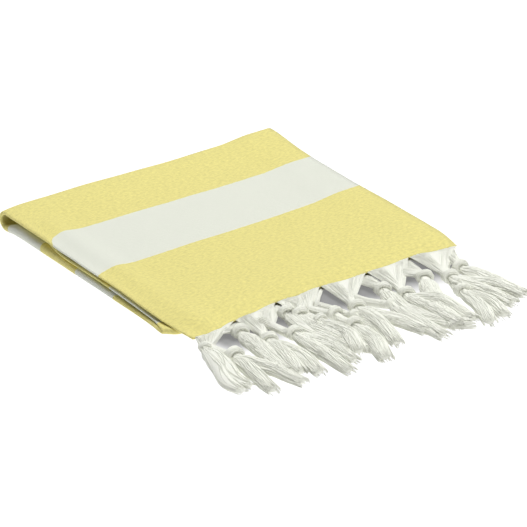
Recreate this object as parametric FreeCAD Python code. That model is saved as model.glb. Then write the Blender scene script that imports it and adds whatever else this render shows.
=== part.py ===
"""A folded hammam towel with a knotted fringe: one woven cloth and its tassels.

The cloth is folded once lengthwise, so every leaf is two layers thick, and then rolled flat into
three leaves: a bottom leaf, an inner leaf turned in at the front fold, and a top leaf that comes
over the back fold and runs on past the front fold. Its fringe lies in front, in two layers. The
fringe of the other end is tucked in between the inner leaf and the top leaf.

Frame: millimetres. X runs across the folded cloth, from the lengthwise fold to the selvedges.
Y runs from the front fringe to the back fold. Z is up. The origin is the centre of the flat face
of the bottom leaf, which the towel rests on.
"""

import FreeCAD, Part
import math
import os

# Driving dimensions of the cloth
FOLDED_WIDTH = 250.0
PACK_LENGTH = 225.0
OVERHANG = 10.0
INNER_SETBACK = 25.0
BOTTOM_LEAF = 5.0
INNER_LEAF = 2.2
TOP_LEAF = 2.6
LEAF_GAP = 0.4
FRINGE_ROOM = 5.9
EDGE_ROUNDING = 0.9

# Driving dimensions of the fringe
TASSELS_A_LAYER = 6
LOWER_MARGIN = 10.0
FAN_THICKNESS = 0.7
FAN_RISE_LENGTH = 8.0
NECK_WIDTH = 6.0
KNOT_WIDTH = 11.0
KNOT_HEIGHT = 6.0
KNOT_RIM = 0.3
TAIL_WIDTH = 5.0
TAIL_TIP_WIDTH = 8.0
TAIL_HEIGHT = 5.0
TAIL_SIDES = 8
FRINGE_GAP = 0.4

# Driving dimensions of the tucked fringe
TUCKED_LIP = 1.0
TUCKED_FAN_LENGTH = 33.0
TUCKED_TAIL_LENGTH = 64.0
TUCKED_FAN_THICKNESS = 0.5
TUCKED_KNOT_WIDTH = 12.0
TUCKED_KNOT_HEIGHT = 2.6
TUCKED_TAIL_WIDTH = 11.0
TUCKED_TAIL_HEIGHT = 1.6

# How each tassel of the front fringe lies: its knots in a row, then its tail tips. Each is given
# by its sideways drift from the middle of the tassel's fan, in pitches, and its distance in front
# of the cloth. The tails start at the last knot.
UPPER_LIES = [
    ([(-0.23, 37.0)], [(-0.79, 87.0), (-0.41, 101.0), (0.06, 100.0)]),
    ([(-0.38, 37.0)], [(-0.62, 90.0), (-0.34, 98.0)]),
    ([(-0.31, 34.0), (0.0, 56.0)], [(-0.27, 110.0)]),
    ([(-0.42, 37.0)], [(-0.78, 98.0), (-0.12, 95.0)]),
    ([(-0.42, 37.0)], [(-0.45, 96.0), (-0.17, 102.0)]),
    ([(-0.42, 37.0)], [(-0.16, 98.0), (0.20, 90.0)]),
]
LOWER_LIES = [
    ([(0.17, 20.0)], [(0.0, 77.0)]),
    ([(-0.22, 44.0)], [(-0.15, 109.0), (0.12, 99.0)]),
    ([(-0.55, 24.0)], [(-0.60, 85.0), (-0.30, 92.0)]),
    ([(0.20, 24.0)], [(0.0, 109.0)]),
    ([(0.12, 28.0)], [(-0.65, 103.0)]),
    ([(-0.08, 30.0), (-0.64, 60.0)], [(-1.05, 112.0), (-0.66, 110.0)]),
]

# Levels and places that follow from the sizes above
HALF_WIDTH = FOLDED_WIDTH / 2
HALF_PACK = PACK_LENGTH / 2
INNER_BOTTOM = BOTTOM_LEAF + LEAF_GAP
INNER_TOP = INNER_BOTTOM + INNER_LEAF
TOP_UNDER_FRONT = INNER_TOP + LEAF_GAP
TOP_UNDER_BACK = TOP_UNDER_FRONT + FRINGE_ROOM
FRONT_RADIUS = INNER_TOP / 2
BACK_RADIUS = (TOP_UNDER_BACK + TOP_LEAF) / 2
FRONT_FOLD_Y = -HALF_PACK + FRONT_RADIUS
BACK_FOLD_Y = HALF_PACK - BACK_RADIUS
FRONT_EDGE_Y = -HALF_PACK - OVERHANG
INNER_END_Y = HALF_PACK - INNER_SETBACK
UPPER_FAN_Z = TOP_LEAF - FAN_THICKNESS
LOWER_FAN_Z = FRINGE_GAP
UPPER_LEVEL = max(KNOT_HEIGHT, TAIL_HEIGHT) + FRINGE_GAP


def corner(y, z, x=0.0):
    """A point from its Y and Z, on the middle plane unless X is given."""
    return FreeCAD.Vector(x, y, z)


def outline(points):
    """A closed wire of straight edges, and of an arc wherever a via point stands in the list.

    An entry is a point, or a pair (via point, end point) for an arc from the last point.
    """
    edges = []
    here = points[0]
    for entry in points[1:] + [points[0]]:
        if isinstance(entry, tuple):
            via, end = entry
            edges.append(Part.Arc(here, via, end).toShape())
        else:
            end = entry
            edges.append(Part.LineSegment(here, end).toShape())
        here = end
    return Part.Wire(edges)


def cloth():
    """The folded cloth, as one leaf-thick solid wound through its two crosswise folds."""
    left = -HALF_WIDTH
    cavity_middle = (BOTTOM_LEAF + TOP_UNDER_BACK) / 2
    cavity_radius = (TOP_UNDER_BACK - BOTTOM_LEAF) / 2
    section = outline([
        corner(FRONT_EDGE_Y, 0.0, left),
        corner(FRONT_EDGE_Y, TOP_LEAF, left),
        corner(-HALF_PACK, TOP_UNDER_FRONT + TOP_LEAF, left),
        corner(BACK_FOLD_Y, TOP_UNDER_BACK + TOP_LEAF, left),
        (corner(HALF_PACK, BACK_RADIUS, left), corner(BACK_FOLD_Y, 0.0, left)),
        corner(FRONT_FOLD_Y, 0.0, left),
        (corner(-HALF_PACK, FRONT_RADIUS, left), corner(FRONT_FOLD_Y, INNER_TOP, left)),
        corner(INNER_END_Y, INNER_TOP, left),
        corner(INNER_END_Y, INNER_BOTTOM, left),
        corner(FRONT_FOLD_Y, INNER_BOTTOM, left),
        corner(FRONT_FOLD_Y, BOTTOM_LEAF, left),
        corner(BACK_FOLD_Y, BOTTOM_LEAF, left),
        (corner(BACK_FOLD_Y + cavity_radius, cavity_middle, left),
         corner(BACK_FOLD_Y, TOP_UNDER_BACK, left)),
        corner(-HALF_PACK, TOP_UNDER_FRONT, left),
    ])
    solid = Part.Face(section).extrude(FreeCAD.Vector(FOLDED_WIDTH, 0, 0))
    fold_edges = [edge for edge in solid.Edges if edge.BoundBox.XMax < left + EDGE_ROUNDING]
    return solid.makeFillet(EDGE_ROUNDING, fold_edges).Solids[0]


def slab(stations):
    """A strip lofted through upright rectangles, each (x, y, bottom z, width, thickness)."""
    wires = []
    for x, y, z, width, thickness in stations:
        wires.append(Part.makePolygon([
            corner(y, z, x - width / 2),
            corner(y, z, x + width / 2),
            corner(y, z + thickness, x + width / 2),
            corner(y, z + thickness, x - width / 2),
            corner(y, z, x - width / 2),
        ]))
    return Part.makeLoft(wires, True, True)


def knot(x, y, z, width, height):
    """A barrel standing on level z, with its two rims cut back to KNOT_RIM of its size."""
    outer = width / 2
    inner = outer * (1 - KNOT_RIM)
    low = height * KNOT_RIM
    profile = Part.makePolygon([
        corner(0, 0, 0),
        corner(0, 0, inner),
        corner(0, low, outer),
        corner(0, height - low, outer),
        corner(0, height, inner),
        corner(0, height, 0),
        corner(0, 0, 0),
    ])
    barrel = Part.Face(profile).revolve(corner(0, 0, 0), corner(0, 1, 0), 360)
    barrel.translate(corner(y, z, x))
    return barrel


def tail(start, tip, z, start_width, tip_width, height):
    """A flattened bundle of yarn from start to tip, both (x, y), lying on level z.

    Its section has eight sides, one of them flat on the level, and widens evenly to its tip.
    """
    along = corner(tip[1] - start[1], 0.0, tip[0] - start[0])
    across = FreeCAD.Vector(0, 0, 1).cross(along).normalize()
    side = 2 * math.pi / TAIL_SIDES
    flat_radius = 1 / math.cos(side / 2)
    wires = []
    for (x, y), width in ((start, start_width), (tip, tip_width)):
        centre = corner(y, z + height / 2, x)
        points = []
        for index in range(TAIL_SIDES):
            turn = side * (index + 0.5)
            out = across * (width / 2 * flat_radius * math.cos(turn))
            up = FreeCAD.Vector(0, 0, height / 2 * flat_radius * math.sin(turn))
            points.append(centre + out + up)
        wires.append(Part.makePolygon(points + points[:1]))
    return Part.makeLoft(wires, True, True)


def joined(pieces):
    """One solid from pieces that run into each other."""
    return pieces[0].fuse(pieces[1:]).removeSplitter().Solids[0]


def front_tassel(middle, pitch, root_z, level, lie):
    """A tassel of the front fringe: a fan of warp ends, its knots and its tails."""
    knots, tips = lie
    places = [(middle + drift * pitch, FRONT_EDGE_Y - reach) for drift, reach in knots]
    first_x, first_y = places[0]
    rise = FAN_RISE_LENGTH / (FRONT_EDGE_Y - first_y)
    root_width = pitch - FRINGE_GAP
    rise_x = middle + (first_x - middle) * rise
    rise_width = root_width + (NECK_WIDTH - root_width) * rise
    neck_z = level + (KNOT_HEIGHT - FAN_THICKNESS) / 2
    pieces = [slab([
        (middle, FRONT_EDGE_Y, root_z, root_width, FAN_THICKNESS),
        (rise_x, FRONT_EDGE_Y - FAN_RISE_LENGTH, max(root_z, level), rise_width, FAN_THICKNESS),
        (first_x, first_y, neck_z, NECK_WIDTH, FAN_THICKNESS),
    ])]
    for x, y in places:
        pieces.append(knot(x, y, level, KNOT_WIDTH, KNOT_HEIGHT))
    for here, there in zip(places, places[1:]):
        pieces.append(tail(here, there, level, TAIL_WIDTH, TAIL_WIDTH, TAIL_HEIGHT))
    for drift, reach in tips:
        tip = (middle + drift * pitch, FRONT_EDGE_Y - reach)
        pieces.append(tail(places[-1], tip, level, TAIL_WIDTH, TAIL_TIP_WIDTH, TAIL_HEIGHT))
    return joined(pieces)


def upper_tassels():
    """The six tassels that leave the upper layer of the top leaf and lie over the lower ones."""
    pitch = FOLDED_WIDTH / TASSELS_A_LAYER
    return [
        front_tassel(pitch * (index + 0.5) - HALF_WIDTH, pitch, UPPER_FAN_Z, UPPER_LEVEL, lie)
        for index, lie in enumerate(UPPER_LIES)
    ]


def lower_tassels():
    """The six tassels that leave the lower layer of the top leaf and lie on the floor."""
    pitch = (FOLDED_WIDTH - LOWER_MARGIN) / TASSELS_A_LAYER
    start = LOWER_MARGIN - HALF_WIDTH
    return [
        front_tassel(start + pitch * (index + 0.5), pitch, LOWER_FAN_Z, 0.0, lie)
        for index, lie in enumerate(LOWER_LIES)
    ]


def tucked_tassels():
    """The other end's tassels, turned back over the inner leaf and lying on it.

    Those of the two cloth layers alternate, so their fans are drawn side by side.
    """
    count = 2 * TASSELS_A_LAYER
    pitch = FOLDED_WIDTH / count
    level = INNER_TOP + FRINGE_GAP
    fan_width = pitch - FRINGE_GAP
    lip_z = (INNER_BOTTOM + INNER_TOP) / 2
    lip_height = level + TUCKED_FAN_THICKNESS - lip_z
    knot_y = INNER_END_Y - TUCKED_FAN_LENGTH
    tip_y = knot_y - TUCKED_TAIL_LENGTH
    solids = []
    for index in range(count):
        x = -HALF_WIDTH + pitch * (index + 0.5)
        lip = Part.makeBox(fan_width, TUCKED_LIP, lip_height)
        lip.translate(corner(INNER_END_Y, lip_z, x - fan_width / 2))
        fan = slab([
            (x, INNER_END_Y + TUCKED_LIP, level, fan_width, TUCKED_FAN_THICKNESS),
            (x, knot_y, level, NECK_WIDTH, TUCKED_FAN_THICKNESS),
        ])
        ball = knot(x, knot_y, level, TUCKED_KNOT_WIDTH, TUCKED_KNOT_HEIGHT)
        end = tail((x, knot_y), (x, tip_y), level, TAIL_WIDTH, TUCKED_TAIL_WIDTH,
                   TUCKED_TAIL_HEIGHT)
        solids.append(joined([lip, fan, ball, end]))
    return solids


def main():
    """Builds every piece and writes one STEP file for each."""
    os.makedirs("parts", exist_ok=True)
    pieces = {"cloth": cloth()}
    for name, solids in (("upper_tassel", upper_tassels()),
                         ("lower_tassel", lower_tassels()),
                         ("tucked_tassel", tucked_tassels())):
        for number, solid in enumerate(solids, start=1):
            pieces[f"{name}_{number}"] = solid
    for name, shape in pieces.items():
        shape.exportStep(f"parts/{name}.step")
        print(name, shape.ShapeType, len(shape.Solids), shape.isValid(), round(shape.Volume))


main()
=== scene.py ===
import logging
from dataclasses import dataclass, field
from enum import Enum

import bpy
import numpy as np
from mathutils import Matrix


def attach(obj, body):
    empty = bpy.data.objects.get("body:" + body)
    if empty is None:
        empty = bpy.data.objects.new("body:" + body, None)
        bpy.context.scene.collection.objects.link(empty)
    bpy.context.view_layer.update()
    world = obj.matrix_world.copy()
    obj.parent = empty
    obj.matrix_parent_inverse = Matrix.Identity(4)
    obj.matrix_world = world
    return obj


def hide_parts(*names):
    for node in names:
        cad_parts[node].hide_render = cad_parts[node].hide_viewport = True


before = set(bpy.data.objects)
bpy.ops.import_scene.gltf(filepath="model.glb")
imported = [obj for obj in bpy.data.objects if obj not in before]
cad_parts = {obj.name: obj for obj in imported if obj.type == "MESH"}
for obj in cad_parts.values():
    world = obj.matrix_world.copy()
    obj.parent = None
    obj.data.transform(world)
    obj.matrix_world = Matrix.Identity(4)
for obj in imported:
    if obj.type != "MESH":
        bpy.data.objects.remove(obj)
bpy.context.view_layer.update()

MM = 0.001
LOG = logging.getLogger("towel")


class Leaf(Enum):
    """The three leaves that the cloth is wound into, in order from the showing fringe."""

    TOP = "top"
    BOTTOM = "bottom"
    INNER = "inner"


class Layer(Enum):
    """Which of a leaf's two layers, by the side of the leaf's middle that it lies on."""

    OUTER = 1.0
    INNER = -1.0


def flowing(at: np.ndarray, stations: np.ndarray, values: np.ndarray) -> np.ndarray:
    """Smooth line through stations, as a cubic between each two.

    A cubic's slope at a station is the mean of the slopes on the station's two sides.

    Args:
        at: where the line is wanted.
        stations: rising places where its value is known.
        values: the value at each station, one column or several.

    Returns:
        The value at each place, held steady past both ends.
    """
    stations = np.asarray(stations, float)
    values = np.asarray(values, float)
    if values.ndim > 1:
        return np.stack([flowing(at, stations, column) for column in values.T], axis=-1)
    slopes = np.gradient(values, stations)
    at = np.clip(at, stations[0], stations[-1])
    low = np.clip(np.searchsorted(stations, at, side="right") - 1, 0, len(stations) - 2)
    span = stations[low + 1] - stations[low]
    part = (at - stations[low]) / span
    return (
        values[low] * (1 + 2 * part) * (1 - part) ** 2
        + span * slopes[low] * part * (1 - part) ** 2
        + values[low + 1] * part**2 * (3 - 2 * part)
        + span * slopes[low + 1] * part**2 * (part - 1)
    )


def eased(part: np.ndarray) -> np.ndarray:
    """A smooth step: three times the square less twice the cube of a share kept from 0 to 1."""
    part = np.clip(part, 0.0, 1.0)
    return part * part * (3 - 2 * part)


@dataclass(frozen=True)
class Rise:
    """A smooth rise by an amount, from a start over a length."""

    amount: float
    start: float
    length: float

    def at(self, place: np.ndarray) -> np.ndarray:
        """How much has risen at some places."""
        return self.amount * eased((place - self.start) / self.length)

    def left(self, place: np.ndarray) -> np.ndarray:
        """How much is still to rise at some places."""
        return self.amount * (1 - eased((place - self.start) / self.length))


@dataclass(frozen=True)
class Bell:
    """A bell curve: its height times e to the minus square of the distance from its middle over its width."""

    height: float
    middle: float
    width: float

    def at(self, place: np.ndarray) -> np.ndarray:
        """Its height at some places."""
        return self.height * np.exp(-(((place - self.middle) / self.width) ** 2))


def ripple(across: np.ndarray, along: np.ndarray, length: float, seed: int) -> np.ndarray:
    """Gentle unevenness: the mean of eight sine waves of one rough length, in seeded directions and phases.

    Args:
        across: places across the surface, in metres.
        along: places along it, in metres.
        length: the waves' rough length, in metres.
        seed: which of many such patterns.

    Returns:
        Values mostly from -1 to 1, of the same shape as the places.
    """
    chance = np.random.default_rng(seed)
    total = np.zeros(np.broadcast(across, along).shape)
    for turn in chance.uniform(0, np.pi, 8):
        pitch = 2 * np.pi / (length * chance.uniform(0.6, 1.7))
        start = chance.uniform(0, 2 * np.pi)
        total += np.sin(pitch * (across * np.cos(turn) + along * np.sin(turn)) + start)
    return total / 3.0


def make_piece(
    name: str,
    vertices: np.ndarray,
    faces: list[np.ndarray],
    uv: np.ndarray,
    material: bpy.types.Material,
) -> bpy.types.Object:
    """Put arrays of corners and faces into a new smooth-shaded object at the origin.

    Args:
        name: the piece's name.
        vertices: corners, three metres each.
        faces: arrays of corner numbers, each array with faces of one size.
        uv: each corner's two surface lengths, in metres.
        material: the finish.

    Returns:
        The new object, linked into the scene.
    """
    loops = np.concatenate([group.ravel() for group in faces]).astype(np.int32)
    totals = np.concatenate([np.full(len(group), group.shape[1]) for group in faces]).astype(np.int32)
    starts = np.concatenate([[0], np.cumsum(totals)[:-1]]).astype(np.int32)
    mesh = bpy.data.meshes.new(name)
    mesh.vertices.add(len(vertices))
    mesh.vertices.foreach_set("co", np.ascontiguousarray(vertices, np.float32).ravel())
    mesh.loops.add(len(loops))
    mesh.loops.foreach_set("vertex_index", loops)
    mesh.polygons.add(len(totals))
    mesh.polygons.foreach_set("loop_start", starts)
    mesh.polygons.foreach_set("use_smooth", np.ones(len(totals), bool))
    mesh.update(calc_edges=True)
    layer = mesh.uv_layers.new(name="lay")
    layer.data.foreach_set("uv", np.ascontiguousarray(uv[loops], np.float32).ravel())
    mesh.validate()
    mesh.materials.append(material)
    piece = bpy.data.objects.new(name, mesh)
    bpy.context.scene.collection.objects.link(piece)
    return piece


# ---------------------------------------------------------------- finishes


class Nodes:
    """A short way to write one material's nodes."""

    def __init__(self, name: str) -> None:
        """Start an empty material that ends in one shader."""
        self.material = bpy.data.materials.new(name)
        self.material.use_nodes = True
        self.tree = self.material.node_tree
        self.tree.nodes.clear()
        self.shader = self.add("ShaderNodeBsdfPrincipled")
        output = self.add("ShaderNodeOutputMaterial")
        self.tree.links.new(self.shader.outputs["BSDF"], output.inputs["Surface"])

    def add(self, kind: str, **settings: object) -> bpy.types.Node:
        """Add a node of a kind and set its properties."""
        node = self.tree.nodes.new(kind)
        for key, value in settings.items():
            setattr(node, key, value)
        return node

    def feed(self, socket: bpy.types.NodeSocket, value: object) -> None:
        """Link a socket into an input, or set the input to a plain value."""
        if isinstance(value, bpy.types.NodeSocket):
            self.tree.links.new(value, socket)
        else:
            socket.default_value = value

    def split(self, place: bpy.types.NodeSocket) -> tuple[bpy.types.NodeSocket, ...]:
        """The three parts of a place."""
        node = self.add("ShaderNodeSeparateXYZ")
        self.feed(node.inputs[0], place)
        return tuple(node.outputs)

    def math(self, operation: str, *values: object) -> bpy.types.NodeSocket:
        """One sum on one to three numbers."""
        node = self.add("ShaderNodeMath", operation=operation)
        for socket, value in zip(node.inputs, values):
            self.feed(socket, value)
        return node.outputs[0]

    def scaled(self, colour: tuple[float, ...], scale: bpy.types.NodeSocket) -> bpy.types.NodeSocket:
        """A colour made lighter or darker."""
        node = self.add("ShaderNodeVectorMath", operation="SCALE")
        node.inputs[0].default_value = colour[:3]
        self.feed(node.inputs[3], scale)
        return node.outputs[0]

    def mix(self, share: object, first: object, second: object) -> bpy.types.NodeSocket:
        """Mix two colours by a share."""
        node = self.add("ShaderNodeMix", data_type="RGBA")
        self.feed(node.inputs[0], share)
        self.feed(node.inputs[6], first)
        self.feed(node.inputs[7], second)
        return node.outputs[2]

    def noise(self, place: object, across: float, along: float, detail: float) -> bpy.types.NodeSocket:
        """Noise from 0 to 1.

        Args:
            place: the coordinates, in metres.
            across: its cells to the metre along the first axis.
            along: its cells to the metre along the second.
            detail: how many finer octaves it has.

        Returns:
            The noise's value.
        """
        mapping = self.add("ShaderNodeMapping")
        self.feed(mapping.inputs["Vector"], place)
        mapping.inputs["Scale"].default_value = (across, along, 1.0)
        node = self.add("ShaderNodeTexNoise")
        self.feed(node.inputs["Vector"], mapping.outputs[0])
        node.inputs["Scale"].default_value = 1.0
        node.inputs["Detail"].default_value = detail
        node.inputs["Roughness"].default_value = 0.6
        return node.outputs[0]

    def span(self, value: object, low: float, high: float) -> bpy.types.NodeSocket:
        """Stretch a value from 0 to 1 onto a range."""
        node = self.add("ShaderNodeMapRange")
        self.feed(node.inputs[0], value)
        node.inputs[3].default_value = low
        node.inputs[4].default_value = high
        return node.outputs[0]

    def step(self, value: object, start: float, stop: float) -> bpy.types.NodeSocket:
        """Rise smoothly from 0 to 1 between two values."""
        node = self.add("ShaderNodeMapRange", interpolation_type="SMOOTHSTEP")
        self.feed(node.inputs[0], value)
        node.inputs[1].default_value = start
        node.inputs[2].default_value = stop
        return node.outputs[0]

    def fibrous(self, roughness: float, sheen: float) -> None:
        """Give the shader a dull and slightly furry surface."""
        self.shader.inputs["Roughness"].default_value = roughness
        self.shader.inputs["Specular IOR Level"].default_value = 0.2
        self.shader.inputs["Sheen Weight"].default_value = sheen
        self.shader.inputs["Sheen Roughness"].default_value = 0.5

    def bump(self, height: object, depth: float, strength: float) -> None:
        """Give the shader a relief of a depth in metres."""
        node = self.add("ShaderNodeBump")
        node.inputs["Strength"].default_value = strength
        node.inputs["Distance"].default_value = depth
        self.feed(node.inputs["Height"], height)
        self.tree.links.new(node.outputs[0], self.shader.inputs["Normal"])


@dataclass(frozen=True)
class StripedCotton:
    """Plain-woven cotton with broad stripes across it, mottled by uneven weft yarns."""

    stripes: tuple[float, ...]
    yellow: tuple[float, float, float, float] = (0.835, 0.755, 0.275, 1.0)
    white: tuple[float, float, float, float] = (0.80, 0.82, 0.722, 1.0)
    fray: float = 0.0009
    yarn_pitch: float = 0.0011
    weave_depth: float = 0.00035
    roughness: float = 0.9
    sheen: float = 0.15

    def material(self) -> bpy.types.Material:
        """Make the cloth's finish on its own lengths across and along.

        Returns:
            The material: stripes by length along, mottling along the weft, and a woven relief.
        """
        nodes = Nodes("striped_cotton")
        place = nodes.add("ShaderNodeUVMap", uv_map="lay").outputs[0]
        across, along, _ = nodes.split(place)

        fray = nodes.noise(place, 260.0, 40.0, 1.0)
        edge = nodes.math("MULTIPLY_ADD", fray, self.fray, -self.fray / 2)
        ramp = nodes.add("ShaderNodeValToRGB")
        ramp.color_ramp.interpolation = "CONSTANT"
        total = sum(self.stripes)
        nodes.feed(ramp.inputs[0], nodes.math("DIVIDE", nodes.math("ADD", along, edge), total))
        stops = ramp.color_ramp.elements
        stops.remove(stops[1])
        stops[0].color = (1.0, 1.0, 1.0, 1.0)
        reached = 0.0
        for number, width in enumerate(self.stripes[:-1]):
            reached += width
            tone = float(number % 2)
            stops.new(reached / total).color = (tone, tone, tone, 1.0)

        slubs = nodes.noise(place, 300.0, 900.0, 3.0)
        blots = nodes.noise(place, 330.0, 480.0, 3.0)
        warp = nodes.noise(place, 900.0, 60.0, 2.0)
        turn = 2 * np.pi / self.yarn_pitch
        weft = nodes.math("SINE", nodes.math("MULTIPLY", along, turn))
        ends = nodes.math("SINE", nodes.math("MULTIPLY", across, turn))
        weave = nodes.math("MULTIPLY", weft, ends)
        shade = nodes.math("MULTIPLY", nodes.span(slubs, 0.80, 1.20), nodes.span(blots, 0.82, 1.18))
        shade = nodes.math("MULTIPLY", shade, nodes.span(warp, 0.95, 1.05))
        shade = nodes.math("MULTIPLY", shade, nodes.span(nodes.math("ABSOLUTE", weave), 0.96, 1.03))
        plain = nodes.scaled(self.white, nodes.span(slubs, 0.97, 1.03))
        dyed = nodes.scaled(self.yellow, shade)
        nodes.feed(nodes.shader.inputs["Base Color"], nodes.mix(ramp.outputs[0], plain, dyed))

        nodes.bump(nodes.math("ADD", nodes.math("MULTIPLY", weave, 0.35), slubs), self.weave_depth, 0.6)
        nodes.fibrous(self.roughness, self.sheen)
        return nodes.material


@dataclass(frozen=True)
class FringeYarn:
    """Undyed loose-spun cotton yarn, a little uneven from strand to strand."""

    pale: tuple[float, float, float, float] = (0.95, 0.955, 0.88, 1.0)
    deep: tuple[float, float, float, float] = (0.90, 0.91, 0.82, 1.0)
    ply: float = 0.0015
    twist: float = 0.0035
    fibre_depth: float = 0.00012
    roughness: float = 0.85
    sheen: float = 0.2

    def material(self) -> bpy.types.Material:
        """Make the yarn's finish from each strand's own lengths around and along.

        Returns:
            The material: tone by strand, and a relief of fibres that twist round it.
        """
        nodes = Nodes("fringe_yarn")
        place = nodes.add("ShaderNodeUVMap", uv_map="lay").outputs[0]
        around, along, _ = nodes.split(place)

        strand = nodes.noise(place, 170.0, 9.0, 1.0)
        fibres = nodes.noise(place, 1400.0, 110.0, 2.0)
        share = nodes.math("ADD", nodes.span(strand, -0.25, 0.85), nodes.span(fibres, -0.25, 0.35))
        nodes.feed(nodes.shader.inputs["Base Color"], nodes.mix(share, self.deep, self.pale))

        round_it = nodes.math("MULTIPLY", around, 2 * np.pi / self.ply)
        along_it = nodes.math("MULTIPLY", along, 2 * np.pi / self.twist)
        plies = nodes.math("SINE", nodes.math("ADD", round_it, along_it))
        nodes.bump(nodes.math("ADD", nodes.math("MULTIPLY", plies, 0.4), fibres), self.fibre_depth, 0.3)
        nodes.fibrous(self.roughness, self.sheen)
        return nodes.material


# ---------------------------------------------------------------- the cloth


@dataclass(frozen=True)
class Edge:
    """The cloth's lengthwise fold at one place: how high, how round and how far out it lies, in mm."""

    leaf: Leaf
    y: float
    height: float
    radius: float
    x: float
    reach: float


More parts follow.
